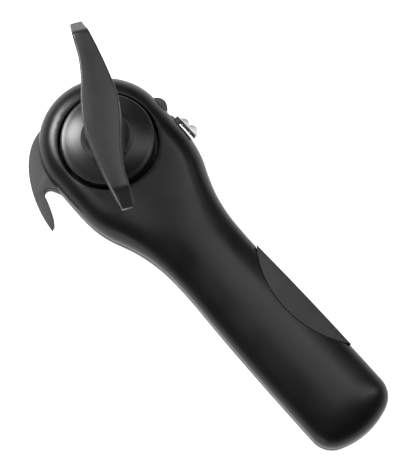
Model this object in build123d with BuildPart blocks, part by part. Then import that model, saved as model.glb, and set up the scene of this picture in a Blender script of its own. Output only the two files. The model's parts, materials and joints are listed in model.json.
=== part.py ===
from build123d import *
from math import asin, cos, degrees, sqrt
import os

# Hand-turned side-cut can opener. Millimetres.
# Origin: where the knob's axis crosses the plane that a can's rim seats against.
# +X runs along the handle, +Y is the pincer side, +Z is the knob side.

# Casing
HEAD_R = 33.9          # round far end of the head
HEAD_X = -3.2          # its centre, a little beyond the knob's axis
HANDLE_END = 194.0     # handle tip, from the knob's axis
HANDLE_HALF = 22.6     # half the handle's greatest width
CORNER_R = 12.5        # handle end corners, in plan
END_R = 40.0           # bulge of the handle's end, in plan
TOP_Z = 24.0           # top of the casing and rim of the knob's recess
PART_Z = 11.0          # where the two shells meet
TOP_ROUND = 11.0       # rounding of the upper edge
LOW_ROUND = 7.5        # rounding of the lower edge
WALL = 2.4
FLOOR_Z = 4.6          # inner floor of the lower shell under the drive
REST_Z = -8.0          # plane the opener rests on

# Knob and its recess
RECESS_R = 25.0
RECESS_Z = 15.6        # floor of the recess
DISC_R = 23.6
DISC_LOW_Z = 16.8
DISC_EDGE_Z = 27.7
DISC_PEAK_Z = 31.5
HUB_R = 11.5
WING_LENGTH = 97.1
WING_TOP_Z = 76.4
WING_ANGLE = -26.4     # degrees from the handle, as stored

# Drive
SHAFT_R = 4.0
SHAFT_TOP_Z = 40.0
SHAFT_FLAT = 3.2       # flat of the D that turns the shaft with the knob
NOSE_R = 3.0
NOSE_ACROSS = 4.8      # across the flats that turn the feed wheel
BUSH_R = 6.0
RUNNING = 0.04         # radial clearance of every running fit
FEED_R = 5.5
FEED_TOOTH = 0.5
FEED_TEETH = 24
FEED_LOW_Z = -6.6
FEED_TOP_Z = -2.2
FRICTION_R = 10.0
FRICTION_LOW_Z = 6.0
FRICTION_TOP_Z = 9.0
CLIP_LOW_Z = 11.8
CLIP_THICK = 0.8

# Cutter, stored open
WHEEL_R = 9.0
WHEEL_LOW_Z = -5.4
WHEEL_THICK = 2.0
CUT_GAP = 0.8          # between the two wheels when closed
OPEN_TRAVEL = 4.0      # how far the cutter stands back when open
CARRIER_ARM = 12.5
CARRIER_LOW_Z = -2.1
CARRIER_TOP_Z = -0.5
CARRIER_END_R = 3.8
AXLE_R = 2.0
PIVOT_R = 2.5
PIVOT_BUSH_R = 4.0

# Base plate and fence
PLATE_THICK = 1.2
PLATE_SIZE = (56.0, 41.0)
PLATE_X = 13.0
PLATE_CORNER = 13.0
FENCE_IN_R = 17.4
FENCE_OUT_R = 20.0
FENCE_START_X = 14.0   # the fence is open towards the can
PEG_R = 1.2
PLATE_SCREW_R = 1.0
PLATE_SCREW_HEAD_R = 2.2
PLATE_SCREWS = [(-8.0, 13.5), (-8.0, -13.5), (28.0, 10.2), (28.0, -10.2)]

# Housing screws, driven from below
SCREWS = [(-20.5, 20.5), (-20.5, -20.5), (40.0, 20.0), (40.0, -20.0), (84.0, 0.0), (183.0, 0.0)]
BOSS_R = 3.5
PILOT_R = 1.25
SCREW_HEAD_R = 2.7
SCREW_SEAT_Z = 2.8
SCREW_LENGTH = 14.0

# Pincer
LEVER_PIVOT = (10.5, 31.0)
LEVER_LOW_Z = 11.5
LEVER_TOP_Z = 15.9
WINDOW_TOP_Z = 16.7
WINDOW_X = (-6.2, 15.6)
PIN_R = 1.2
PIN_BOSS_R = 2.9
LEVER_Y = 29.8         # back of the lever's bar
BLOCK_X = 11.2         # where the lever's block begins
BLOCK_WIDTH = 3.0
BUTTON_AT = (0.8, 31.4)
BUTTON_R = 5.2
BACKING_Y = 35.3
JAW_Y = 36.2
JAW_ENDS = (13.0, 24.8)
JAW_LOBES = {16.2: 2.5, 21.7: 3.1}   # place along the jaw, and radius
MID_LEVER_Z = (LEVER_LOW_Z + LEVER_TOP_Z) / 2
RIVET_R = 0.6
RIVET_DEPTH = 1.6      # blind holes in the jaw
SPRING_R = 1.85
WIRE_R = 0.22

# Hook
HOOK_LOW_Z = 4.8
HOOK_TOP_Z = 10.8
HOOK_SCREW = (-20.5, -20.5)   # the housing screw that holds its root

# Screw-cap opener in the handle's underside
CAP_X = 150.0
CAP_RIM_R = 20.0
CAP_SEAT_Z = 3.0
CAP_CUP_R = 16.2
CAP_FLOOR_Z = 6.5
CAP_TOP_Z = 8.2
CAP_MOUTH_R = 17.0
CAP_DEEP_R = 14.4
CAP_RIB = 0.9
CAP_RIBS = 24

# Side grip: the lens between the handle's edge and an arc
LENS_X = 122.0
LENS_INNER_Y = 9.5
LENS_ARC_R = 54.0
GRIP_RIDGE_Z = 23.6    # top of the grip at the middle of its arc
GRIP_SLOPE = 22.0      # degrees, falling to the handle's edge
GRIP_WALL = 3.0
SEAM = 0.15

closed_x = FEED_R + WHEEL_R + CUT_GAP
wheel_x = closed_x + OPEN_TRAVEL
pivot = (closed_x + OPEN_TRAVEL / 2, CARRIER_ARM)
UP = (Align.CENTER, Align.CENTER, Align.MIN)
DOWN = (Align.CENTER, Align.CENTER, Align.MAX)

os.makedirs("parts", exist_ok=True)


def body_outline(inset=0.0):
    """Plan of the casing: round head, shoulders, waist and handle, drawn in by inset."""
    corner_y = HANDLE_HALF - CORNER_R
    turn = asin(corner_y / (END_R - CORNER_R))
    end_x = HANDLE_END - END_R
    corner_x = end_x + (END_R - CORNER_R) * cos(turn)
    flank_points = [(HEAD_X, HEAD_R), (12, 34.1), (26, 33.6), (36, 31.2), (46, 27.0), (56, 23.7), (67, 21.7),
                    (80, 21.0), (105, 21.7), (135, 22.4), (corner_x, HANDLE_HALF)]
    with BuildSketch() as outline:
        with BuildLine():
            head = CenterArc((HEAD_X, 0), HEAD_R - inset, 90, 90)
            flank = Spline(*[(x, y - inset) for x, y in flank_points], tangents=[(1, 0), (1, 0)])
            corner = CenterArc((corner_x, corner_y), CORNER_R - inset, 90, degrees(turn) - 90)
            CenterArc((end_x, 0), END_R - inset, degrees(turn), -2 * degrees(turn))
            mirror(head, about=Plane.XZ)
            mirror(flank, about=Plane.XZ)
            mirror(corner, about=Plane.XZ)
        make_face()
    return outline.sketch


def half_body(inset, far_z, rounding):
    """Solid from the parting plane to far_z, with its far edge rounded."""
    with BuildPart() as half:
        with BuildSketch(Plane.XY.offset(PART_Z)):
            add(body_outline(inset))
        extrude(amount=far_z - PART_Z)
        far_face = half.faces().sort_by(Axis.Z)[-1 if far_z > PART_Z else 0]
        fillet(far_face.edges(), radius=rounding)
    return half.part


def walls(far_z, rounding):
    """One shell's skin, WALL thick."""
    inward = -WALL if far_z > PART_Z else WALL
    with BuildPart() as skin:
        add(half_body(0, far_z, rounding))
        add(half_body(WALL, far_z + inward, rounding - WALL), mode=Mode.SUBTRACT)
    return skin.part


def disc(radius, low_z, high_z, centre=(0, 0)):
    """Upright cylinder between two heights."""
    with BuildPart() as one:
        with Locations((centre[0], centre[1], low_z)):
            Cylinder(radius, high_z - low_z, align=UP)
    return one.part


def ring(outer_r, inner_r, low_z, high_z, centre=(0, 0)):
    """Upright ring between two heights."""
    with BuildPart() as one:
        add(disc(outer_r, low_z, high_z, centre))
        add(disc(inner_r, low_z, high_z, centre), mode=Mode.SUBTRACT)
    return one.part


def flanged_bush(outer_r, inner_r, flange_r, low_z, seat_z, top_z, centre=(0, 0)):
    """Bush whose flange lies on the seat."""
    with BuildPart() as one:
        add(ring(outer_r, inner_r, low_z, top_z, centre))
        add(ring(flange_r, inner_r, seat_z, top_z, centre))
    return one.part


def pan_screw(shank_r, length, head_r, head_h):
    """Screw pointing up: shank above z 0, head with a cross recess below it."""
    with BuildPart() as one:
        Cylinder(shank_r, length, align=UP)
        Cylinder(head_r, head_h, align=DOWN)
        fillet(one.faces().sort_by(Axis.Z)[0].edges(), radius=head_h * 0.4)
        for turn in (0, 90):
            with Locations(Location((0, 0, -head_h), (0, 0, turn))):
                Box(head_r * 1.2, head_r * 0.28, head_h * 1.2, mode=Mode.SUBTRACT)
    return one.part


def lens_outline(inset=0.0, edge_inset=0.0):
    """Plan of the side grip: what the arc cuts off the handle, drawn in from arc and edge."""
    with BuildSketch() as lens:
        add(body_outline(edge_inset))
        with Locations((LENS_X, LENS_INNER_Y + LENS_ARC_R)):
            Circle(LENS_ARC_R - inset, mode=Mode.INTERSECT)
    return lens.sketch


def star_outline(tip_r, root_r, count):
    """Closed outline of count pointed teeth."""
    step = 360 / count
    with BuildSketch() as star:
        with BuildLine():
            Polyline(*[Vector(r, 0).rotate(Axis.Z, (i + half) * step)
                       for i in range(count) for r, half in ((tip_r, 0), (root_r, 0.5))], close=True)
        make_face()
    return star.sketch


def shaft_nose(radius):
    """Section of the shaft's nose, with the two flats that turn the feed wheel."""
    with BuildSketch() as nose:
        Circle(radius)
        Rectangle(2 * radius, NOSE_ACROSS, mode=Mode.INTERSECT)
    return nose.sketch


def shaft_top():
    """Section of the shaft inside the knob, with its flat."""
    with BuildSketch() as section:
        Circle(SHAFT_R)
        with Locations((SHAFT_FLAT - SHAFT_R, 0)):
            Rectangle(2 * SHAFT_R, 2 * SHAFT_R, mode=Mode.INTERSECT)
    return section.sketch


def wing_outline():
    """Plan of the wing: an S that looks the same turned half a circle."""
    tip = WING_LENGTH / 2
    bulge = [(-tip, 2.4), (-41, 4.3), (-29, 6.8), (-17, 8.7), (-5, 9.7), (8, 7.8), (18, 5.3), (30, 3.8),
             (tip, 4.0)]
    with BuildSketch() as plan:
        with BuildLine():
            near = Spline(*bulge)
            far = Spline(*[(-x, -y) for x, y in bulge])
            Line(near @ 1, far @ 0)
            Line(far @ 1, near @ 0)
        make_face()
    return plan.sketch


def wing_profile():
    """Side view of the wing: flat top, drooping noses, arched underside and the hub column."""
    tip = WING_LENGTH / 2
    with BuildSketch() as profile:
        with BuildLine():
            crest = Polyline((0, WING_TOP_Z), (tip - 7.4, WING_TOP_Z), (tip, WING_TOP_Z - 8),
                             (tip - 0.6, WING_TOP_Z - 12))
            arch = ThreePointArc(crest @ 1, (21.0, 52.0), (HUB_R, DISC_PEAK_Z))
            Polyline(arch @ 1, (HUB_R, DISC_EDGE_Z), (0, DISC_EDGE_Z), crest @ 0)
        make_face()
        mirror(about=Plane.YZ)
    return profile.sketch


def wing():
    """The wing and its column, along X."""
    with BuildPart() as blade:
        with BuildSketch(Plane.XY.offset(DISC_EDGE_Z)):
            add(wing_outline())
        extrude(amount=WING_TOP_Z - DISC_EDGE_Z)
        with BuildSketch(Plane.XZ):
            add(wing_profile())
        extrude(amount=WING_LENGTH / 4, both=True, mode=Mode.INTERSECT)
    return blade.part


# ---------------------------------------------------------------- casing
with BuildPart() as top_shell:
    # Recess cup, screw bosses, pin boss and the rib behind the grip, trimmed to the outer form
    add(disc(RECESS_R + WALL, RECESS_Z - WALL, TOP_Z))
    for centre in SCREWS:
        add(disc(BOSS_R, PART_Z, TOP_Z, centre))
    add(disc(PIN_BOSS_R, WINDOW_TOP_Z, TOP_Z, LEVER_PIVOT))
    with BuildSketch(Plane.XY.offset(PART_Z)):
        add(lens_outline(-WALL))
        add(lens_outline(), mode=Mode.SUBTRACT)
    extrude(amount=TOP_Z - PART_Z)
    add(half_body(0, TOP_Z, TOP_ROUND), mode=Mode.INTERSECT)
    add(walls(TOP_Z, TOP_ROUND))
    with BuildSketch(Plane.XY.offset(PART_Z)):
        add(lens_outline())
    extrude(amount=TOP_Z - PART_Z, mode=Mode.SUBTRACT)
    add(disc(RECESS_R, RECESS_Z, TOP_Z), mode=Mode.SUBTRACT)
    add(disc(BUSH_R, PART_Z, TOP_Z), mode=Mode.SUBTRACT)
    add(disc(PIN_R, PART_Z, WINDOW_TOP_Z + 2.0, LEVER_PIVOT), mode=Mode.SUBTRACT)
    for centre in SCREWS:
        add(disc(PILOT_R, PART_Z, SCREW_SEAT_Z + SCREW_LENGTH, centre), mode=Mode.SUBTRACT)
    with Locations(((WINDOW_X[0] + WINDOW_X[1]) / 2, HEAD_R - 1.0, PART_Z)):
        Box(WINDOW_X[1] - WINDOW_X[0], 10, WINDOW_TOP_Z - PART_Z, align=UP, mode=Mode.SUBTRACT)
top_shell.part.label = "top_shell"
export_step(top_shell.part, "parts/top_shell.step")

with BuildPart() as ring_pull_hook:
    with BuildSketch(Plane.XY.offset(HOOK_LOW_Z)):
        with BuildLine():
            outer = Spline((-30.2, -13.0), (-30.5, -22.0), (-24.7, -32.8), (-14.6, -41.1), (-2.0, -46.8),
                           (12.8, -49.6))
            inner = Spline((12.0, -47.6), (5.8, -43.8), (-1.4, -41.3), (-4.5, -39.8), (-4.5, -37.2),
                           (-2.2, -35.3), (1.6, -33.2))
            Line(outer @ 1, inner @ 0)
            Polyline(inner @ 1, (-3.0, -27.5), (-16.0, -13.0), outer @ 0)
        make_face()
    extrude(amount=HOOK_TOP_Z - HOOK_LOW_Z)
    add(disc(BOSS_R + SEAM, HOOK_LOW_Z, HOOK_TOP_Z, HOOK_SCREW), mode=Mode.SUBTRACT)
ring_pull_hook.part.label = "ring_pull_hook"
export_step(ring_pull_hook.part, "parts/ring_pull_hook.step")

with BuildPart() as bottom_shell:
    # Drive floor, screw bosses, pin boss and cap-opener seat, trimmed to the outer form
    with BuildSketch():
        with Locations((PLATE_X, 0)):
            RectangleRounded(PLATE_SIZE[0] + 2, PLATE_SIZE[1] + 2, PLATE_CORNER)
    extrude(amount=FLOOR_Z)
    for centre in SCREWS:
        add(disc(BOSS_R, 0, PART_Z, centre))
    add(disc(PIN_BOSS_R, 0, PART_Z, LEVER_PIVOT))
    add(disc(CAP_RIM_R + 1.5, 0, CAP_SEAT_Z + WALL, (CAP_X, 0)))
    add(half_body(0, 0, LOW_ROUND), mode=Mode.INTERSECT)
    add(walls(0, LOW_ROUND))
    # The hook drops through an open window in the wall, over its screw boss
    hook_plan = ring_pull_hook.faces().sort_by(Axis.Z)[0]
    extrude(hook_plan, amount=PART_Z - HOOK_LOW_Z, dir=(0, 0, 1), mode=Mode.SUBTRACT)
    with BuildSketch():
        with Locations((PLATE_X, 0)):
            RectangleRounded(*PLATE_SIZE, PLATE_CORNER)
    extrude(amount=PLATE_THICK, mode=Mode.SUBTRACT)
    add(disc(BUSH_R, 0, FLOOR_Z), mode=Mode.SUBTRACT)
    add(disc(PIVOT_BUSH_R, 0, FLOOR_Z, pivot), mode=Mode.SUBTRACT)
    add(disc(PIN_R, FLOOR_Z, PART_Z, LEVER_PIVOT), mode=Mode.SUBTRACT)
    add(disc(CAP_RIM_R, 0, CAP_SEAT_Z, (CAP_X, 0)), mode=Mode.SUBTRACT)
    add(disc(CAP_CUP_R, 0, PART_Z, (CAP_X, 0)), mode=Mode.SUBTRACT)
    for centre in PLATE_SCREWS:
        add(disc(PLATE_SCREW_R, 0, FLOOR_Z, centre), mode=Mode.SUBTRACT)
    for centre in SCREWS:
        add(disc(SCREW_HEAD_R + 0.3, 0, SCREW_SEAT_Z, centre), mode=Mode.SUBTRACT)
        add(disc(PILOT_R + 0.35, 0, PART_Z, centre), mode=Mode.SUBTRACT)
bottom_shell.part.label = "bottom_shell"
export_step(bottom_shell.part, "parts/bottom_shell.step")

grip_face = Plane((LENS_X, LENS_INNER_Y, GRIP_RIDGE_Z)).rotated((-GRIP_SLOPE, 0, 0))
with BuildPart() as grip_pocket:
    with BuildSketch(Plane.XY.offset(PART_Z)):
        add(lens_outline(GRIP_WALL, GRIP_WALL))
    extrude(amount=TOP_Z - PART_Z)
    split(bisect_by=grip_face.offset(-GRIP_WALL), keep=Keep.BOTTOM)

with BuildPart() as side_grip:
    with BuildSketch(Plane.XY.offset(PART_Z)):
        add(lens_outline(SEAM))
    extrude(amount=TOP_Z - PART_Z)
    split(bisect_by=grip_face, keep=Keep.BOTTOM)
    add(grip_pocket.part, mode=Mode.SUBTRACT)
side_grip.part.label = "side_grip"
export_step(side_grip.part, "parts/side_grip.step")

one_screw = pan_screw(PILOT_R, SCREW_LENGTH, SCREW_HEAD_R, 1.8)
with BuildPart() as housing_screws:
    for x, y in SCREWS:
        add(one_screw.moved(Location((x, y, SCREW_SEAT_Z))))
housing_screws.part.label = "housing_screws"
export_step(housing_screws.part, "parts/housing_screws.step")

# ---------------------------------------------------------------- screw-cap opener
with BuildPart() as cap_grip:
    add(disc(CAP_RIM_R - 0.1, REST_Z, CAP_SEAT_Z, (CAP_X, 0)))
    fillet(cap_grip.faces().sort_by(Axis.Z)[0].edges(), radius=0.8)
    add(disc(CAP_CUP_R - 0.1, CAP_SEAT_Z, CAP_TOP_Z, (CAP_X, 0)))
    for height, radius in ((REST_Z, CAP_MOUTH_R), (CAP_FLOOR_Z, CAP_DEEP_R)):
        with BuildSketch(Plane((CAP_X, 0, height))):
            add(star_outline(radius, radius - CAP_RIB, CAP_RIBS))
    loft(ruled=True, mode=Mode.SUBTRACT)
cap_grip.part.label = "cap_grip"
export_step(cap_grip.part, "parts/cap_grip.step")

# ---------------------------------------------------------------- base plate and fence
screw_cone = Solid.make_cone(PLATE_SCREW_HEAD_R, PLATE_SCREW_R, PLATE_THICK)
peg_places = [Vector(FENCE_IN_R / 2 + FENCE_OUT_R / 2, 0).rotate(Axis.Z, a) + Vector(wheel_x, 0)
              for a in (-62, 0, 62)]

with BuildPart() as base_plate:
    with BuildSketch():
        with Locations((PLATE_X, 0)):
            RectangleRounded(PLATE_SIZE[0] - 0.2, PLATE_SIZE[1] - 0.2, PLATE_CORNER)
        Circle(BUSH_R, mode=Mode.SUBTRACT)
        with Locations(pivot):
            Circle(PIVOT_BUSH_R, mode=Mode.SUBTRACT)
        with Locations(*peg_places):
            Circle(PEG_R, mode=Mode.SUBTRACT)
    extrude(amount=PLATE_THICK)
    for x, y in PLATE_SCREWS:
        add(screw_cone.moved(Location((x, y, 0))), mode=Mode.SUBTRACT)
base_plate.part.label = "base_plate"
export_step(base_plate.part, "parts/base_plate.step")

with BuildPart() as base_plate_screws:
    for x, y in PLATE_SCREWS:
        add(screw_cone.moved(Location((x, y, 0))))
        add(disc(PLATE_SCREW_R, PLATE_THICK, FLOOR_Z - 0.4, (x, y)))
        with Locations((x, y, 0)):
            Box(PLATE_SCREW_HEAD_R * 1.3, 0.5, 1.0, mode=Mode.SUBTRACT)
            Box(0.5, PLATE_SCREW_HEAD_R * 1.3, 1.0, mode=Mode.SUBTRACT)
base_plate_screws.part.label = "base_plate_screws"
export_step(base_plate_screws.part, "parts/base_plate_screws.step")

with BuildPart() as rim_guide:
    with BuildSketch(Plane.XY.offset(REST_Z)):
        with Locations((wheel_x, 0)):
            Circle(FENCE_OUT_R)
            Circle(FENCE_IN_R, mode=Mode.SUBTRACT)
        with Locations((FENCE_START_X, 0)):
            Rectangle(FENCE_OUT_R * 2, FENCE_OUT_R * 2, align=(Align.MAX, Align.CENTER), mode=Mode.SUBTRACT)
    extrude(amount=-REST_Z)
    fillet(rim_guide.edges().filter_by(Axis.Z), radius=0.9)
    for peg in peg_places:
        add(disc(PEG_R, 0, PLATE_THICK, (peg.X, peg.Y)))
rim_guide.part.label = "rim_guide"
export_step(rim_guide.part, "parts/rim_guide.step")

# ---------------------------------------------------------------- knob and drive
with BuildPart() as upper_bush:
    add(flanged_bush(BUSH_R, SHAFT_R + RUNNING, 8.5, RECESS_Z - WALL, RECESS_Z, RECESS_Z + 0.7))
upper_bush.part.label = "upper_bush"
export_step(upper_bush.part, "parts/upper_bush.step")

with BuildPart() as lower_bush:
    add(flanged_bush(BUSH_R, SHAFT_R + RUNNING, 7.6, 0, FLOOR_Z, FLOOR_Z + 0.9))
lower_bush.part.label = "lower_bush"
export_step(lower_bush.part, "parts/lower_bush.step")

with BuildPart() as thrust_washer:
    add(ring(8.0, SHAFT_R + 0.2, RECESS_Z + 0.7, RECESS_Z + 1.1))
thrust_washer.part.label = "thrust_washer"
export_step(thrust_washer.part, "parts/thrust_washer.step")

with BuildPart() as turning_knob:
    with BuildSketch(Plane.XZ):
        with BuildLine():
            Polyline((0, DISC_LOW_Z), (8, DISC_LOW_Z), (8, 23), (DISC_R - WALL, 23), (DISC_R - WALL, DISC_LOW_Z),
                     (DISC_R, DISC_LOW_Z), (DISC_R, DISC_EDGE_Z - 1.4))
            ThreePointArc((DISC_R, DISC_EDGE_Z - 1.4), (DISC_R - 0.4, DISC_EDGE_Z - 0.4),
                          (DISC_R - 1.4, DISC_EDGE_Z))
            ThreePointArc((DISC_R - 1.4, DISC_EDGE_Z), (15.5, 29.6), (0, DISC_PEAK_Z))
            Line((0, DISC_PEAK_Z), (0, DISC_LOW_Z))
        make_face()
    revolve(axis=Axis.Z)
    add(wing().rotate(Axis.Z, WING_ANGLE))
    with BuildSketch(Plane.XY.offset(DISC_LOW_Z)):
        add(shaft_top())
    extrude(amount=SHAFT_TOP_Z - DISC_LOW_Z, mode=Mode.SUBTRACT)
turning_knob.part.label = "turning_knob"
export_step(turning_knob.part, "parts/turning_knob.step")

with BuildPart() as drive_shaft:
    with BuildSketch(Plane.XY.offset(FEED_LOW_Z)):
        add(shaft_nose(NOSE_R))
    extrude(amount=FEED_TOP_Z - FEED_LOW_Z)
    add(disc(SHAFT_R, FEED_TOP_Z, DISC_LOW_Z))
    with BuildSketch(Plane.XY.offset(DISC_LOW_Z)):
        add(shaft_top())
    extrude(amount=SHAFT_TOP_Z - DISC_LOW_Z)
    add(ring(SHAFT_R + 1, SHAFT_R - 0.7, CLIP_LOW_Z, CLIP_LOW_Z + CLIP_THICK), mode=Mode.SUBTRACT)
    add(disc(PILOT_R, FEED_LOW_Z, FEED_LOW_Z + 6), mode=Mode.SUBTRACT)
drive_shaft.part.label = "drive_shaft"
export_step(drive_shaft.part, "parts/drive_shaft.step")

with BuildPart() as retaining_clip:
    add(ring(6.4, SHAFT_R - 0.7, CLIP_LOW_Z, CLIP_LOW_Z + CLIP_THICK))
    with Locations((5, 0, CLIP_LOW_Z)):
        Box(10, 3.6, CLIP_THICK, align=UP, mode=Mode.SUBTRACT)
retaining_clip.part.label = "retaining_clip"
export_step(retaining_clip.part, "parts/retaining_clip.step")

with BuildPart() as friction_ring:
    add(ring(FRICTION_R, SHAFT_R, FRICTION_LOW_Z, FRICTION_TOP_Z))
    chamfer(friction_ring.faces().sort_by(Axis.Z)[-1].edges().sort_by(SortBy.RADIUS)[-1], length=0.4)
friction_ring.part.label = "friction_ring"
export_step(friction_ring.part, "parts/friction_ring.step")

with BuildPart() as feed_wheel:
    with BuildSketch(Plane.XY.offset(FEED_LOW_Z)):
        add(star_outline(FEED_R, FEED_R - FEED_TOOTH, FEED_TEETH))
        add(shaft_nose(NOSE_R), mode=Mode.SUBTRACT)
    extrude(amount=FEED_TOP_Z - FEED_LOW_Z)
feed_wheel.part.label = "feed_wheel"
export_step(feed_wheel.part, "parts/feed_wheel.step")

with BuildPart() as feed_wheel_screw:
    add(pan_screw(PILOT_R, 5.5, 3.4, 1.0).moved(Location((0, 0, FEED_LOW_Z))))
feed_wheel_screw.part.label = "feed_wheel_screw"
export_step(feed_wheel_screw.part, "parts/feed_wheel_screw.step")

# ---------------------------------------------------------------- cutter
with BuildPart() as carrier_bush:
    add(flanged_bush(PIVOT_BUSH_R, PIVOT_R + RUNNING, 5.2, 0, FLOOR_Z, FLOOR_Z + 0.9, pivot))
carrier_bush.part.label = "carrier_bush"
export_step(carrier_bush.part, "parts/carrier_bush.step")

with BuildPart() as cutter_carrier:
    with BuildSketch(Plane.XY.offset(CARRIER_LOW_Z)):
        with Locations(pivot, (wheel_x, 0)):
            Circle(CARRIER_END_R)
        make_hull()
        with Locations(pivot):
            Circle(PIVOT_R, mode=Mode.SUBTRACT)
        with Locations((wheel_x, 0)):
            Circle(AXLE_R, mode=Mode.SUBTRACT)
    extrude(amount=CARRIER_TOP_Z - CARRIER_LOW_Z)
cutter_carrier.part.label = "cutter_carrier"
export_step(cutter_carrier.part, "parts/cutter_carrier.step")

with BuildPart() as carrier_shaft:
    add(disc(PIVOT_R, CARRIER_LOW_Z, FRICTION_TOP_Z, pivot))
    add(disc(PIVOT_R + 0.8, CARRIER_LOW_Z - 0.7, CARRIER_LOW_Z, pivot))
carrier_shaft.part.label = "carrier_shaft"
export_step(carrier_shaft.part, "parts/carrier_shaft.step")

sector_r = sqrt(pivot[0] ** 2 + pivot[1] ** 2) - FRICTION_R - 0.15
with BuildPart() as carrier_lever:
    with BuildSketch(Plane.XY.offset(FRICTION_LOW_Z)):
        with Locations(pivot):
            Circle(sector_r)
        to_shaft = Vector(-pivot[0], -pivot[1]).normalized() * (sector_r * 2)
        with BuildLine():
            Polyline(pivot, Vector(*pivot) + to_shaft.rotate(Axis.Z, -26),
                     Vector(*pivot) + to_shaft.rotate(Axis.Z, 26), close=True)
        make_face(mode=Mode.INTERSECT)
        with Locations(pivot):
            Circle(PIVOT_BUSH_R + 0.6)
            Circle(PIVOT_R, mode=Mode.SUBTRACT)
    extrude(amount=FRICTION_TOP_Z - FRICTION_LOW_Z)
carrier_lever.part.label = "carrier_lever"
export_step(carrier_lever.part, "parts/carrier_lever.step")

wheel_top_z = WHEEL_LOW_Z + WHEEL_THICK
with BuildPart() as cutter_axle:
    add(disc(AXLE_R, WHEEL_LOW_Z - 0.2, CARRIER_TOP_Z, (wheel_x, 0)))
    add(disc(AXLE_R + 1.4, WHEEL_LOW_Z - 1.2, WHEEL_LOW_Z - 0.2, (wheel_x, 0)))
    fillet(cutter_axle.faces().sort_by(Axis.Z)[0].edges(), radius=0.4)
cutter_axle.part.label = "cutter_axle"
export_step(cutter_axle.part, "parts/cutter_axle.step")

with BuildPart() as axle_spacer:
    add(ring(AXLE_R + 1.4, AXLE_R, wheel_top_z + 0.15, CARRIER_LOW_Z, (wheel_x, 0)))
axle_spacer.part.label = "axle_spacer"
export_step(axle_spacer.part, "parts/axle_spacer.step")

with BuildPart() as cutting_wheel:
    with BuildSketch(Plane.XZ):
        with BuildLine():
            Polyline((AXLE_R + RUNNING, WHEEL_LOW_Z), (WHEEL_R - 1.9, WHEEL_LOW_Z),
                     (WHEEL_R, WHEEL_LOW_Z + WHEEL_THICK * 0.5), (WHEEL_R - 1.9, wheel_top_z),
                     (AXLE_R + RUNNING, wheel_top_z), close=True)
        make_face()
    revolve(axis=Axis.Z)
cutting_wheel.part = cutting_wheel.part.moved(Location((wheel_x, 0, 0)))
cutting_wheel.part.label = "cutting_wheel"
export_step(cutting_wheel.part, "parts/cutting_wheel.step")

# ---------------------------------------------------------------- pincer
with BuildPart() as lever_pin:
    add(disc(PIN_R, FLOOR_Z, WINDOW_TOP_Z + 2.0, LEVER_PIVOT))
lever_pin.part.label = "lever_pin"
export_step(lever_pin.part, "parts/lever_pin.step")

with BuildPart() as pinch_lever:
    with BuildSketch(Plane.XY.offset(LEVER_LOW_Z)):
        with Locations(BUTTON_AT):
            Circle(BUTTON_R)
        with Locations((BUTTON_AT[0], LEVER_Y)):
            Rectangle(2 * BUTTON_R, BUTTON_R + 4, align=(Align.CENTER, Align.MIN), mode=Mode.INTERSECT)
        with Locations((BUTTON_AT[0] - BUTTON_R, LEVER_Y)):
            Rectangle(LEVER_PIVOT[0] + BUTTON_R - BUTTON_AT[0], 3.8, align=(Align.MIN, Align.MIN))
        with Locations(LEVER_PIVOT):
            Circle(3.4)
        with Locations((BLOCK_X, LEVER_PIVOT[1])):
            Rectangle(BLOCK_WIDTH, JAW_Y - LEVER_PIVOT[1], align=(Align.MIN, Align.MIN))
        with Locations((BLOCK_X, BACKING_Y)):
            Rectangle(JAW_ENDS[1] - BLOCK_X, JAW_Y - BACKING_Y, align=(Align.MIN, Align.MIN))
    extrude(amount=LEVER_TOP_Z - LEVER_LOW_Z)
    add(disc(PIN_R + RUNNING, LEVER_LOW_Z, LEVER_TOP_Z, LEVER_PIVOT), mode=Mode.SUBTRACT)
    add(disc(SPRING_R + 0.5, LEVER_TOP_Z - 2.4, LEVER_TOP_Z, LEVER_PIVOT), mode=Mode.SUBTRACT)
    for along in JAW_LOBES:
        with BuildSketch(Plane((along, BACKING_Y, MID_LEVER_Z), x_dir=(1, 0, 0), z_dir=(0, 1, 0))):
            Circle(RIVET_R)
        extrude(amount=JAW_Y - BACKING_Y, mode=Mode.SUBTRACT)
pinch_lever.part.label = "pinch_lever"
export_step(pinch_lever.part, "parts/pinch_lever.step")

with BuildPart() as lever_spring:
    with BuildLine(Plane((LEVER_PIVOT[0], LEVER_PIVOT[1], LEVER_TOP_Z - 2.1))) as coil:
        Helix(pitch=0.6, height=1.8, radius=SPRING_R)
    with BuildSketch(Plane(origin=coil.line @ 0, z_dir=coil.line % 0)):
        Circle(WIRE_R)
    sweep(path=coil.line, is_frenet=True)
lever_spring.part.label = "lever_spring"
export_step(lever_spring.part, "parts/lever_spring.step")

with BuildPart() as pincer_jaw:
    with BuildSketch(Plane.XY.offset(LEVER_LOW_Z + 0.3)):
        with Locations((JAW_ENDS[0], JAW_Y)):
            Rectangle(JAW_ENDS[1] - JAW_ENDS[0], 1.0, align=(Align.MIN, Align.MIN))
        for along, radius in JAW_LOBES.items():
            with Locations((along, JAW_Y)):
                Circle(radius)
        with Locations((0, JAW_Y)):
            Rectangle(80, 10, align=(Align.CENTER, Align.MAX), mode=Mode.SUBTRACT)
    extrude(amount=LEVER_TOP_Z - LEVER_LOW_Z - 0.6)
    for along in JAW_LOBES:
        with BuildSketch(Plane((along, JAW_Y, MID_LEVER_Z), x_dir=(1, 0, 0), z_dir=(0, 1, 0))):
            Circle(RIVET_R)
        extrude(amount=RIVET_DEPTH, mode=Mode.SUBTRACT)
pincer_jaw.part.label = "pincer_jaw"
export_step(pincer_jaw.part, "parts/pincer_jaw.step")

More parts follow.
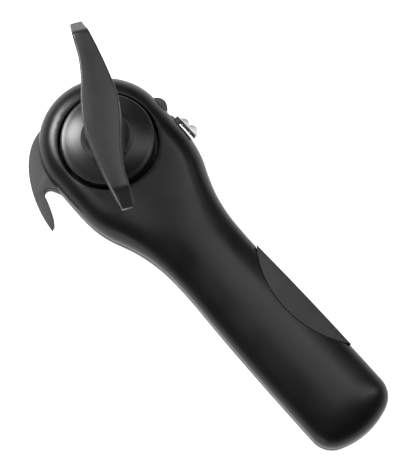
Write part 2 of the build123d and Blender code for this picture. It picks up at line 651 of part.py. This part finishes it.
with BuildPart() as jaw_rivets:
    for along in JAW_LOBES:
        with BuildSketch(Plane((along, BACKING_Y - 0.4, MID_LEVER_Z), x_dir=(1, 0, 0), z_dir=(0, 1, 0))):
            Circle(RIVET_R + 0.5)
        extrude(amount=0.4)
        with BuildSketch(Plane((along, BACKING_Y, MID_LEVER_Z), x_dir=(1, 0, 0), z_dir=(0, 1, 0))):
            Circle(RIVET_R)
        extrude(amount=JAW_Y - BACKING_Y + RIVET_DEPTH)
jaw_rivets.part.label = "jaw_rivets"
export_step(jaw_rivets.part, "parts/jaw_rivets.step")
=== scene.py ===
import json
import math
import bmesh
import bpy
import numpy as np
from mathutils import Matrix, Vector
from mathutils.geometry import delaunay_2d_cdt


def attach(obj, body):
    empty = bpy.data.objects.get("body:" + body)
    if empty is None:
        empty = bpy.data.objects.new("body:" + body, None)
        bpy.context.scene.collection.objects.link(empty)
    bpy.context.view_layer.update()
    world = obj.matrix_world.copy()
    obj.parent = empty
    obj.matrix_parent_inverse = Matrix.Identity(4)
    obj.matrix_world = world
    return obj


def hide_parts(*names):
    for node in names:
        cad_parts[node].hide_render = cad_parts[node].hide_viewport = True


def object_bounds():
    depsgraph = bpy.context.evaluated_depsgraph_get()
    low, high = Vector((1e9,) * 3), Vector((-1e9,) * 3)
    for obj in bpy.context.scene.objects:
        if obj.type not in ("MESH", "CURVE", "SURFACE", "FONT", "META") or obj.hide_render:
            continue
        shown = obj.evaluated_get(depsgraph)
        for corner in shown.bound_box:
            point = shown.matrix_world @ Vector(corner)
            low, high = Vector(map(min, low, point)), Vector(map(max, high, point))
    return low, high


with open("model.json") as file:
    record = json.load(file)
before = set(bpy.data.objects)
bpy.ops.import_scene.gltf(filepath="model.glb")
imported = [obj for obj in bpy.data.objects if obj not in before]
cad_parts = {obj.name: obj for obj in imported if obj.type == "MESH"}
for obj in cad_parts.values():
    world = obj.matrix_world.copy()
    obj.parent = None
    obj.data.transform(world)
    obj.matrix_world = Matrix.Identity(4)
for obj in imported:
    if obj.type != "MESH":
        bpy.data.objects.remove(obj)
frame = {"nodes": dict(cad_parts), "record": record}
cad_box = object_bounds()

MM = 0.001

# The casing, in millimetres: its outer form and the room left for the drive
HEAD_X, HEAD_R = -3.2, 33.9
HANDLE_END, HANDLE_HALF = 194.0, 22.6
CORNER_R, END_R = 12.5, 40.0
TOP_Z, PART_Z = 24.0, 11.0
SHOULDER = 11.0
RECESS_R, RECESS_Z = 25.0, 15.6
RIM_ROUND = 1.0
DRIVE_ROOM_R, BUSH_R, WALL = 22.0, 6.0, 2.4
LENS_X, LENS_Y, LENS_R = 122.0, 63.5, 54.0
SEAT_GAP = 0.25      # the grip's seat is cut this much wider, so that a dark line shows round it
FLANK = [(HEAD_X, HEAD_R), (12, 34.1), (26, 33.6), (36, 31.2), (46, 27.0), (56, 23.7), (67, 21.7),
         (80, 21.0), (105, 21.7), (135, 22.4)]
LEVER_WINDOW = ((-6.2, 26.5, 10.0), (15.6, 40.0, 16.7))

# The knob
DISC_R, DISC_LOW_Z, DISC_PEAK_Z = 23.6, 16.8, 31.5
DISC_EDGE_Z, DISC_EDGE_ROUND, DOME_POWER = 27.9, 1.0, 2.7
HUB_R = 11.5
WING_TIP, WING_TOP_Z, WING_TURN = 48.55, 76.4, math.radians(-26.4)
NOSE, NOSE_EASE = 8.6, 1.6      # lengths of the drooping nose and of its rounded start
NOSE_FALL = 1.07                # slope of the nose beyond that start
WING_EDGE = [(-WING_TIP, 2.4), (-41, 4.1), (-29, 6.6), (-17, 8.55), (-5, 9.7), (8, 7.8), (18, 5.3),
             (30, 3.8), (40, 4.1), (WING_TIP, 4.0)]
WING_UNDER = [(HUB_R, DISC_PEAK_Z), (12.3, 38), (15, 45.4), (21, 52), (30, 57.8), (40, 62),
              (WING_TIP, 64.4)]
HUB = [(8.6, 70), (9.2, 52), (10.0, 40), (10.9, 35), (12.0, 32.6), (13.6, 30.6)]


# ---------------------------------------------------------------- camera, light and floor
def make_camera():
    """Camera above the head's hook side, looking down along the handle."""
    target = Vector((71.0, 4.6, 24.0)) * MM
    elevation, azimuth, roll = (math.radians(a) for a in (75.75, -36.35, -5.0))
    distance = 1.0
    pixels_per_mm = 2.018
    image_width = 416
    back = Vector((math.cos(elevation) * math.cos(azimuth), math.cos(elevation) * math.sin(azimuth),
                   math.sin(elevation)))
    right = Vector((0, 0, 1)).cross(back).normalized()
    up = back.cross(right)
    turn = Matrix.Rotation(roll, 3, back)
    right, up = turn @ right, turn @ up
    data = bpy.data.cameras.new("camera")
    data.sensor_fit = "HORIZONTAL"
    data.sensor_width = 36
    data.lens = 36 * pixels_per_mm * distance / MM / image_width
    camera = bpy.data.objects.new("camera", data)
    camera.matrix_world = Matrix.Translation(target + back * distance) @ Matrix(
        (right, up, back)).transposed().to_4x4()
    bpy.context.scene.collection.objects.link(camera)
    bpy.context.scene.camera = camera
    return right, up, back


def make_light(name, direction, size, power, height=None, aim=(0.07, 0, 0.02)):
    """Area light at the end of direction, in metres from the aim, facing it."""
    data = bpy.data.lights.new(name, "AREA")
    data.shape = "RECTANGLE"
    data.size = size
    data.size_y = height or size
    data.energy = power
    light = bpy.data.objects.new(name, data)
    place = Vector(aim) + Vector(direction)
    light.location = place
    light.rotation_euler = (Vector(aim) - place).to_track_quat("-Z", "Y").to_euler()
    bpy.context.scene.collection.objects.link(light)


def make_floor(z):
    """Floor that glows white like a light table, so that hardly a shadow shows on it."""
    mesh = bpy.data.meshes.new("floor")
    half = 3.0
    corners = [(-half, -half, z), (half, -half, z), (half, half, z), (-half, half, z)]
    mesh.from_pydata(corners, [], [(0, 1, 2, 3)])
    floor = bpy.data.objects.new("floor", mesh)
    bpy.context.scene.collection.objects.link(floor)
    material = bpy.data.materials.new("floor")
    material.use_nodes = True
    shader = material.node_tree.nodes["Principled BSDF"]
    shader.inputs["Base Color"].default_value = (0.4, 0.4, 0.4, 1)
    shader.inputs["Roughness"].default_value = 0.8
    shader.inputs["Emission Color"].default_value = (1, 1, 1, 1)
    shader.inputs["Emission Strength"].default_value = 0.97
    mesh.materials.append(material)


def make_world():
    """Studio: pale near the horizon, darker overhead, so that dark plastic keeps its edges."""
    world = bpy.data.worlds.new("studio")
    world.use_nodes = True
    nodes, links = world.node_tree.nodes, world.node_tree.links
    place = nodes.new("ShaderNodeTexCoord")
    split = nodes.new("ShaderNodeSeparateXYZ")
    links.new(place.outputs["Generated"], split.inputs["Vector"])
    ramp = nodes.new("ShaderNodeValToRGB")
    ramp.color_ramp.elements[0].position = 0.1
    ramp.color_ramp.elements[0].color = (0.6, 0.6, 0.6, 1)
    ramp.color_ramp.elements[1].position = 0.4
    ramp.color_ramp.elements[1].color = (0.03, 0.03, 0.03, 1)
    links.new(split.outputs["Z"], ramp.inputs["Fac"])
    links.new(ramp.outputs["Color"], nodes["Background"].inputs["Color"])
    nodes["Background"].inputs["Strength"].default_value = 0.8
    bpy.context.scene.world = world


right, up, back = make_camera()
make_floor(cad_box[0][2] - 0.05 * MM)
make_world()
bpy.context.scene.view_settings.view_transform = "Standard"
make_light("key", 0.7 * up - 0.74 * right + 0.74 * back, 0.42, 21)
make_light("strip", 0.52 * up + 0.7 * right + 0.95 * back, 0.3, 2.6, 0.75)
make_light("top", 0.56 * up + 0.12 * right + 0.95 * back, 0.4, 1.7)
make_light("low", -0.95 * up - 0.55 * right + 0.25 * back, 0.5, 1.5)


# ---------------------------------------------------------------- materials
def plastic(name, colour, roughness, grain, grain_mm, mottle=0.15):
    """Moulded plastic: fine spark-eroded grain, slight unevenness in colour and gloss."""
    material = bpy.data.materials.new(name)
    material.use_nodes = True
    nodes, links = material.node_tree.nodes, material.node_tree.links
    shader = nodes["Principled BSDF"]
    shader.inputs["Specular IOR Level"].default_value = 0.34
    place = nodes.new("ShaderNodeTexCoord")
    fine = nodes.new("ShaderNodeTexNoise")
    fine.inputs["Scale"].default_value = 1 / (grain_mm * MM)
    fine.inputs["Detail"].default_value = 3
    links.new(place.outputs["Object"], fine.inputs["Vector"])
    bump = nodes.new("ShaderNodeBump")
    bump.inputs["Strength"].default_value = grain
    bump.inputs["Distance"].default_value = 0.05 * MM
    links.new(fine.outputs["Fac"], bump.inputs["Height"])
    links.new(bump.outputs["Normal"], shader.inputs["Normal"])
    broad = nodes.new("ShaderNodeTexNoise")
    broad.inputs["Scale"].default_value = 1 / (14 * MM)
    broad.inputs["Detail"].default_value = 5
    links.new(place.outputs["Object"], broad.inputs["Vector"])
    tone = nodes.new("ShaderNodeValToRGB")
    for stop, gain in zip(tone.color_ramp.elements, (1 - mottle, 1 + mottle)):
        stop.color = (*(c * gain for c in colour), 1)
    tone.color_ramp.elements[0].position, tone.color_ramp.elements[1].position = 0.3, 0.7
    links.new(broad.outputs["Fac"], tone.inputs["Fac"])
    links.new(tone.outputs["Color"], shader.inputs["Base Color"])
    gloss = nodes.new("ShaderNodeMapRange")
    gloss.inputs["From Min"].default_value, gloss.inputs["From Max"].default_value = 0.3, 0.7
    gloss.inputs["To Min"].default_value = roughness - 0.02
    gloss.inputs["To Max"].default_value = roughness + 0.03
    links.new(broad.outputs["Fac"], gloss.inputs["Value"])
    links.new(gloss.outputs["Result"], shader.inputs["Roughness"])
    return material


def metal(name, colour, roughness, grain_mm, stretch=(1, 1, 1), strength=0.3):
    """Ground or turned steel: streaks drawn out along one way, with uneven gloss."""
    material = bpy.data.materials.new(name)
    material.use_nodes = True
    nodes, links = material.node_tree.nodes, material.node_tree.links
    shader = nodes["Principled BSDF"]
    shader.inputs["Metallic"].default_value = 1
    place = nodes.new("ShaderNodeTexCoord")
    mapping = nodes.new("ShaderNodeMapping")
    mapping.inputs["Scale"].default_value = stretch
    links.new(place.outputs["Object"], mapping.inputs["Vector"])
    streak = nodes.new("ShaderNodeTexNoise")
    streak.inputs["Scale"].default_value = 1 / (grain_mm * MM)
    streak.inputs["Detail"].default_value = 4
    links.new(mapping.outputs["Vector"], streak.inputs["Vector"])
    bump = nodes.new("ShaderNodeBump")
    bump.inputs["Strength"].default_value = strength
    bump.inputs["Distance"].default_value = 0.03 * MM
    links.new(streak.outputs["Fac"], bump.inputs["Height"])
    links.new(bump.outputs["Normal"], shader.inputs["Normal"])
    tone = nodes.new("ShaderNodeValToRGB")
    for stop, gain in zip(tone.color_ramp.elements, (0.82, 1.0)):
        stop.color = (*(c * gain for c in colour), 1)
    links.new(streak.outputs["Fac"], tone.inputs["Fac"])
    links.new(tone.outputs["Color"], shader.inputs["Base Color"])
    gloss = nodes.new("ShaderNodeMapRange")
    gloss.inputs["To Min"].default_value = roughness * 0.75
    gloss.inputs["To Max"].default_value = roughness * 1.3
    links.new(streak.outputs["Fac"], gloss.inputs["Value"])
    links.new(gloss.outputs["Result"], shader.inputs["Roughness"])
    return material


MATERIALS = {
    "casing_black": plastic("casing_black", (0.005, 0.005, 0.0052), 0.33, 0.12, 0.2),
    "casing_grey": plastic("casing_grey", (0.05, 0.051, 0.053), 0.55, 0.35, 0.3),
    "grip_grey": plastic("grip_grey", (0.03, 0.03, 0.031), 0.6, 0.3, 0.2),
    "inset_grey": plastic("inset_grey", (0.03, 0.03, 0.032), 0.6, 0.3, 0.3),
    "knob_black": plastic("knob_black", (0.017, 0.017, 0.0175), 0.3, 0.15, 0.2),
    "bush_plastic": plastic("bush_plastic", (0.7, 0.69, 0.65), 0.4, 0.1, 0.3),
    "friction_rubber": plastic("friction_rubber", (0.02, 0.02, 0.02), 0.75, 0.4, 0.2),
    "plate_steel": metal("plate_steel", (0.62, 0.62, 0.63), 0.3, 0.8, (1, 12, 1)),
    "wheel_steel": metal("wheel_steel", (0.55, 0.55, 0.56), 0.25, 0.5, (1, 1, 8)),
    "jaw_steel": metal("jaw_steel", (0.52, 0.52, 0.53), 0.35, 0.3),
    "pin_steel": metal("pin_steel", (0.58, 0.58, 0.6), 0.25, 0.5, (1, 1, 8)),
    "screw_steel": metal("screw_steel", (0.5, 0.5, 0.52), 0.32, 0.4),
    "spring_steel": metal("spring_steel", (0.45, 0.45, 0.47), 0.3, 0.4),
}


# ---------------------------------------------------------------- mesh helpers
def curve_at(points, x):
    """Smooth curve through the points (place, height), read at x; level at both ends."""
    xs, ys = (np.array(c, float) for c in zip(*points))
    slopes = np.gradient(ys, xs)
    slopes[0] = slopes[-1] = 0
    x = np.clip(x, xs[0], xs[-1])
    i = np.clip(np.searchsorted(xs, x) - 1, 0, len(xs) - 2)
    span = xs[i + 1] - xs[i]
    t = (x - xs[i]) / span
    return ((2 * t ** 3 - 3 * t ** 2 + 1) * ys[i] + (t ** 3 - 2 * t ** 2 + t) * span * slopes[i]
            + (3 * t ** 2 - 2 * t ** 3) * ys[i + 1] + (t ** 3 - t ** 2) * span * slopes[i + 1])


def smoothstep(x, low, high):
    t = np.clip((x - low) / (high - low), 0, 1)
    return t * t * (3 - 2 * t)


def make_piece(name, points, faces, node, sharp=35):
    """Closed mesh in millimetres that stands for a CAD node and takes its body, slot and material."""
    mesh = bpy.data.meshes.new(name)
    mesh.from_pydata([tuple(c * MM for c in p) for p in points], [], faces)
    shape = bmesh.new()
    shape.from_mesh(mesh)
    bmesh.ops.remove_doubles(shape, verts=shape.verts, dist=1e-6)
    bmesh.ops.recalc_face_normals(shape, faces=shape.faces)
    shape.to_mesh(mesh)
    shape.free()
    mesh.shade_smooth()
    mesh.set_sharp_from_angle(angle=math.radians(sharp))
    piece = bpy.data.objects.new(name, mesh)
    bpy.context.scene.collection.objects.link(piece)
    stand_for(piece, node)
    return piece


BODY_OF = {node: body for body, nodes in frame["record"]["behaviour"]["bodies"].items() for node in nodes}
SLOT_OF = {part["node"]: part["material_slot"] for part in frame["record"]["subparts"]}


def stand_for(piece, node):
    """The piece rides, looks and counts as the CAD node."""
    piece.data.materials.clear()
    piece.data.materials.append(MATERIALS[SLOT_OF[node]])
    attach(piece, BODY_OF[node])
    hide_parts(node)


def bake_modifiers(piece, sharp=35):
    """Swap the piece's mesh for what its modifiers make of it."""
    graph = bpy.context.evaluated_depsgraph_get()
    made = bpy.data.meshes.new_from_object(piece.evaluated_get(graph))
    piece.modifiers.clear()
    piece.data = made
    made.shade_smooth()
    made.set_sharp_from_angle(angle=math.radians(sharp))


def cut_away(piece, cutters):
    """Subtract the closed cutters, given as (points in millimetres, faces)."""
    for points, faces in cutters:
        mesh = bpy.data.meshes.new("cutter")
        mesh.from_pydata([tuple(c * MM for c in p) for p in points], [], faces)
        cutter = bpy.data.objects.new("cutter", mesh)
        bpy.context.scene.collection.objects.link(cutter)
        cut = piece.modifiers.new("cut", "BOOLEAN")
        cut.operation = "DIFFERENCE"
        cut.solver = "EXACT"
        cut.object = cutter
        bake_modifiers(piece)
        bpy.data.objects.remove(cutter)


def prism(outline, low, high):
    """Upright prism over an outline that runs counter-clockwise."""
    n = len(outline)
    points = [(x, y, z) for z in (low, high) for x, y in outline]
    sides = [(i, (i + 1) % n, n + (i + 1) % n, n + i) for i in range(n)]
    return points, sides + [tuple(range(n - 1, -1, -1)), tuple(range(n, 2 * n))]


def round_outline(x, y, radius, count):
    """Circle as a counter-clockwise outline."""
    return [(x + radius * math.cos(a), y + radius * math.sin(a))
            for a in np.linspace(0, 2 * math.pi, count, endpoint=False)]


def strips(rings):
    """Quads between neighbouring closed rings of equal length, as indices."""
    n = len(rings[0])
    return [(k * n + i, k * n + (i + 1) % n, (k + 1) * n + (i + 1) % n, (k + 1) * n + i)
            for k in range(len(rings) - 1) for i in range(n)]


def eased(node, name, width, segments=3):
    """Copy of a CAD node's mesh with its sharp edges rounded off."""
    mesh = frame["nodes"][node].data.copy()
    shape = bmesh.new()
    shape.from_mesh(mesh)
    bmesh.ops.remove_doubles(shape, verts=shape.verts, dist=1e-6)
    bmesh.ops.dissolve_limit(shape, angle_limit=math.radians(0.5), verts=shape.verts, edges=shape.edges)
    shape.to_mesh(mesh)
    shape.free()
    piece = bpy.data.objects.new(name, mesh)
    bpy.context.scene.collection.objects.link(piece)
    bevel = piece.modifiers.new("ease", "BEVEL")
    bevel.width = width * MM
    bevel.segments = segments
    bevel.limit_method = "ANGLE"
    bevel.angle_limit = math.radians(35)
    bake_modifiers(piece)
    stand_for(piece, node)


# ---------------------------------------------------------------- casing
def casing_outline(per_mm=1.6):
    """Closed plan of the casing with its outward normals, counter-clockwise from the tip of the handle."""
    corner_y = HANDLE_HALF - CORNER_R
    turn = math.asin(corner_y / (END_R - CORNER_R))
    end_x = HANDLE_END - END_R
    corner_x = end_x + (END_R - CORNER_R) * math.cos(turn)

    def arc(x, y, radius, start, stop):
        a = np.linspace(start, stop, max(3, int(abs(stop - start) * radius / per_mm)), endpoint=False)
        outward = np.stack([np.cos(a), np.sin(a)], 1)
        return np.array([x, y]) + radius * outward, outward

    xs = np.linspace(corner_x, HEAD_X, int((corner_x - HEAD_X) / per_mm), endpoint=False)
    ys = curve_at(FLANK + [(corner_x, HANDLE_HALF)], xs)
    slope = np.gradient(ys, xs)
    flank = np.stack([xs, ys], 1), np.stack([-slope, np.ones_like(slope)], 1) / np.hypot(slope, 1)[:, None]
    upper = [arc(end_x, 0, END_R, 0, turn), arc(corner_x, corner_y, CORNER_R, turn, math.pi / 2), flank,
             arc(HEAD_X, 0, HEAD_R, math.pi / 2, math.pi)]
    points, normals = (np.concatenate(parts) for parts in zip(*upper))
    flip = np.array([1, -1])
    last = np.array([[HEAD_X - HEAD_R, 0]]), np.array([[-1.0, 0]])
    return (np.concatenate([points, last[0], points[:0:-1] * flip]),
            np.concatenate([normals, last[1], normals[:0:-1] * flip]))


def edge_distance(places, outline):
    """Distance of each place from the outline."""
    a, b = outline, np.roll(outline, -1, axis=0)
    run = b - a
    t = ((places[:, None] - a) * run).sum(2) / (run ** 2).sum(1)
    near = a + run * np.clip(t, 0, 1)[..., None]
    return np.sqrt(((places[:, None] - near) ** 2).sum(2)).min(1)


def casing_height(places, depth):
    """Top surface: rounded shoulder and flat crown on the head, crowned all across on the handle."""
    rise = TOP_Z - SHOULDER
    x, y = places[:, 0], places[:, 1]
    inner = SHOULDER - np.clip(depth, 0, SHOULDER)
    head = rise + np.sqrt(SHOULDER ** 2 - inner ** 2)
    crown = 2.5
    reach = HANDLE_HALF
    near_edge = 1 - np.clip(depth / reach, 0, 1)
    across = np.abs(y) / curve_at(FLANK + [(HANDLE_END, HANDLE_HALF)], x)
    along = np.clip((x - HANDLE_END + reach) / reach, 0, 1)
    middle = np.clip((across ** 3 + along ** 3) ** (1 / 3), 0, 1)
    blend = smoothstep(depth, 4, 12)
    out = near_edge * (1 - blend) + middle * blend
    handle = rise + SHOULDER * (1 - out ** crown) ** (1 / crown)
    to_handle = smoothstep(x, 28, 78)
    return head * (1 - to_handle) + handle * to_handle


def make_top_shell():
    """Upper shell, solid but for the drive's room, with recess, seam groove, lever window and grip's seat."""
    outline, normals = casing_outline()
    rims, heights = [], []
    for inset, z in ((0.4, PART_Z), (0.4, PART_Z + 0.35), (0, PART_Z + 0.6)):
        rims.append(outline - normals * inset)
        heights.append(np.full(len(outline), z))
    shoulder_rings = (0, 0.03, 0.12, 0.35, 0.75, 1.3, 2.0, 2.9, 4.0, 5.4, 7.0)
    for depth in shoulder_rings:
        rims.append(outline - normals * depth)
        heights.append(casing_height(rims[-1], np.full(len(outline), depth)))
    rings = [np.column_stack(r) for r in zip(rims, heights)]
    n = len(outline)
    points = [tuple(p) for ring in rings for p in ring]
    faces = strips(rings) + [tuple(range(n - 1, -1, -1))]

    # Recess, from its rounded rim down to the floor
    count = 120
    angle = np.arange(count) * 2 * math.pi / count
    circle = np.stack([np.cos(angle), np.sin(angle)], 1)
    rim = circle * (RECESS_R + RIM_ROUND)
    surface = casing_height(rim, edge_distance(rim, outline))
    start = len(points)
    cup = [(1.0, 0), (0.62, 0.07), (0.29, 0.29), (0.07, 0.62), (0, 1.0)]
    cup_rings = [np.column_stack([circle * (RECESS_R + out), surface - drop]) for out, drop in cup]
    cup_rings.append(np.column_stack([circle * RECESS_R, np.full(count, RECESS_Z)]))
    points += [tuple(p) for ring in cup_rings for p in ring]
    faces += [tuple(start + i for i in face) for face in strips(cup_rings)]
    faces.append(tuple(start + (len(cup_rings) - 1) * count + i for i in range(count)))

    # Top surface between the last rim ring and the recess
    step = 2.2
    grid = np.array([(x, y) for x in np.arange(-36, HANDLE_END, step) for y in np.arange(-35, 35, step)])
    depth = edge_distance(grid, outline)
    inside = np.array([abs(y) < curve_at(FLANK + [(HANDLE_END, HANDLE_HALF)], x) if x > HEAD_X
                       else math.hypot(x - HEAD_X, y) < HEAD_R for x, y in grid])
    margin = 1.2     # keeps the loose points clear of both borders
    keep = (inside & (depth > shoulder_rings[-1] + margin)
            & (np.hypot(*grid.T) > RECESS_R + RIM_ROUND + margin))
    loose = grid[keep]
    inner_ring = rims[-1]
    flat = np.concatenate([inner_ring, rim, loose])
    border = [(i, (i + 1) % n) for i in range(n)] + [(n + i, n + (i + 1) % count) for i in range(count)]
    made = delaunay_2d_cdt([Vector(p) for p in flat], border, [], 0, 1e-6)
    index_of = {}
    for new, olds in enumerate(made[3]):
        if olds:
            index_of[new] = olds[0]
    z_loose = casing_height(loose, depth[keep])
    loose_start = len(points)
    points += [(x, y, z) for (x, y), z in zip(loose, z_loose)]
    to_mesh = {i: (len(rings) - 1) * n + i for i in range(n)}
    to_mesh.update({n + i: start + i for i in range(count)})
    to_mesh.update({n + count + i: loose_start + i for i in range(len(loose))})
    centres = np.array([np.mean([made[0][v] for v in face], axis=0) for face in made[2]])
    outside = point_outside(centres, inner_ring) | (np.hypot(*centres.T) < RECESS_R + RIM_ROUND + 0.1)
    for face, out in zip(made[2], outside):
        if not out:
            faces.append(tuple(to_mesh[index_of[v]] for v in face))
    shell = make_piece("top_shell_form", points, faces, "top_shell")
    (x0, y0, z0), (x1, y1, z1) = LEVER_WINDOW
    lens = round_outline(LENS_X, LENS_Y, LENS_R + SEAT_GAP, 240)
    cut_away(shell, [prism([(x0, y0), (x1, y0), (x1, y1), (x0, y1)], z0, z1), prism(lens, z0, TOP_Z + 5),
                     prism(round_outline(0, 0, DRIVE_ROOM_R, 96), z0, RECESS_Z - WALL),
                     prism(round_outline(0, 0, BUSH_R, 72), z0, RECESS_Z + 1)])


def point_outside(places, ring):
    """True for each place that the closed ring doesn't hold."""
    x, y = places[:, :1], places[:, 1:]
    a, b = ring, np.roll(ring, -1, axis=0)
    crosses = ((a[:, 1] > y) != (b[:, 1] > y))
    rise = np.where(b[:, 1] == a[:, 1], 1e-9, b[:, 1] - a[:, 1])
    at = a[:, 0] + (y - a[:, 1]) * (b[:, 0] - a[:, 0]) / rise
    return (crosses & (x < at)).sum(1) % 2 == 0


# ---------------------------------------------------------------- knob
def make_knob():
    """Domed disc, flared column and the S-shaped wing with soft noses."""
    count = 144
    angle = np.arange(count) * 2 * math.pi / count
    points, faces = [], []

    def add_turned(profile, cap_low, cap_high):
        start = len(points)
        rings = [[(r * math.cos(a), r * math.sin(a), z) for a in angle] for r, z in profile]
        points.extend(p for ring in rings for p in ring)
        faces.extend(tuple(start + i for i in face) for face in strips(rings))
        if cap_low:
            faces.append(tuple(start + i for i in range(count)))
        if cap_high:
            faces.append(tuple(start + (len(rings) - 1) * count + i for i in range(count)))

    dome_r = DISC_R - DISC_EDGE_ROUND
    dome = [(DISC_R, DISC_LOW_Z), (DISC_R, DISC_EDGE_Z - DISC_EDGE_ROUND)]
    dome += [(dome_r + DISC_EDGE_ROUND * math.cos(a), DISC_EDGE_Z - DISC_EDGE_ROUND * (1 - math.sin(a)))
             for a in np.radians([20, 40, 60, 78])]
    dome += [(r, DISC_PEAK_Z - (DISC_PEAK_Z - DISC_EDGE_Z) * (r / dome_r) ** DOME_POWER)
             for r in np.linspace(dome_r, 1.0, 16)]
    add_turned(dome, True, True)
    hub_z = np.linspace(HUB[0][1], HUB[-1][1], 24)
    radius = np.interp(hub_z, [z for r, z in HUB][::-1], [r for r, z in HUB][::-1])
    add_turned(list(zip(radius, hub_z)), True, True)

    start = len(points)
    beyond = HUB_R + (WING_TIP - HUB_R) * np.linspace(0, 1, 44) ** 1.4
    stations = np.concatenate([-beyond[::-1], np.linspace(-HUB_R, HUB_R, 20)[1:-1], beyond])
    ring = []
    for x in stations:
        near = float(curve_at(WING_EDGE, x))
        far = -float(curve_at(WING_EDGE, -x))
        into_nose = max(0.0, abs(x) - (WING_TIP - NOSE))
        eased_in = min(into_nose, NOSE_EASE)
        top = WING_TOP_Z - eased_in ** 2 / 3 - (into_nose - eased_in) * NOSE_FALL
        under = float(curve_at(WING_UNDER, abs(x))) if abs(x) >= HUB_R else DISC_PEAK_Z - 2
        ring.append([(x, near, top), (x, far, top), (x, far, under), (x, near, under)])
    turned = Matrix.Rotation(WING_TURN, 3, "Z")
    points.extend(tuple(turned @ Vector(p)) for section in ring for p in section)
    faces.extend(tuple(start + i for i in face) for face in strips(ring))
    faces.append(tuple(start + i for i in range(4)))
    faces.append(tuple(start + (len(ring) - 1) * 4 + i for i in range(4)))
    knob = make_piece("turning_knob_form", points, faces, "turning_knob")
    bevel = knob.modifiers.new("ease", "BEVEL")
    bevel.width = 0.8 * MM
    bevel.segments = 4
    bevel.limit_method = "ANGLE"
    bevel.angle_limit = math.radians(50)
    bake_modifiers(knob)


for part in frame["record"]["subparts"]:
    node = frame["nodes"][part["node"]]
    node.data.materials.clear()
    node.data.materials.append(MATERIALS[part["material_slot"]])

make_top_shell()
make_knob()
eased("ring_pull_hook", "ring_pull_hook_form", 1.2, 4)
eased("side_grip", "side_grip_form", 0.7)
eased("pinch_lever", "pinch_lever_form", 0.5)
eased("pincer_jaw", "pincer_jaw_form", 0.25)
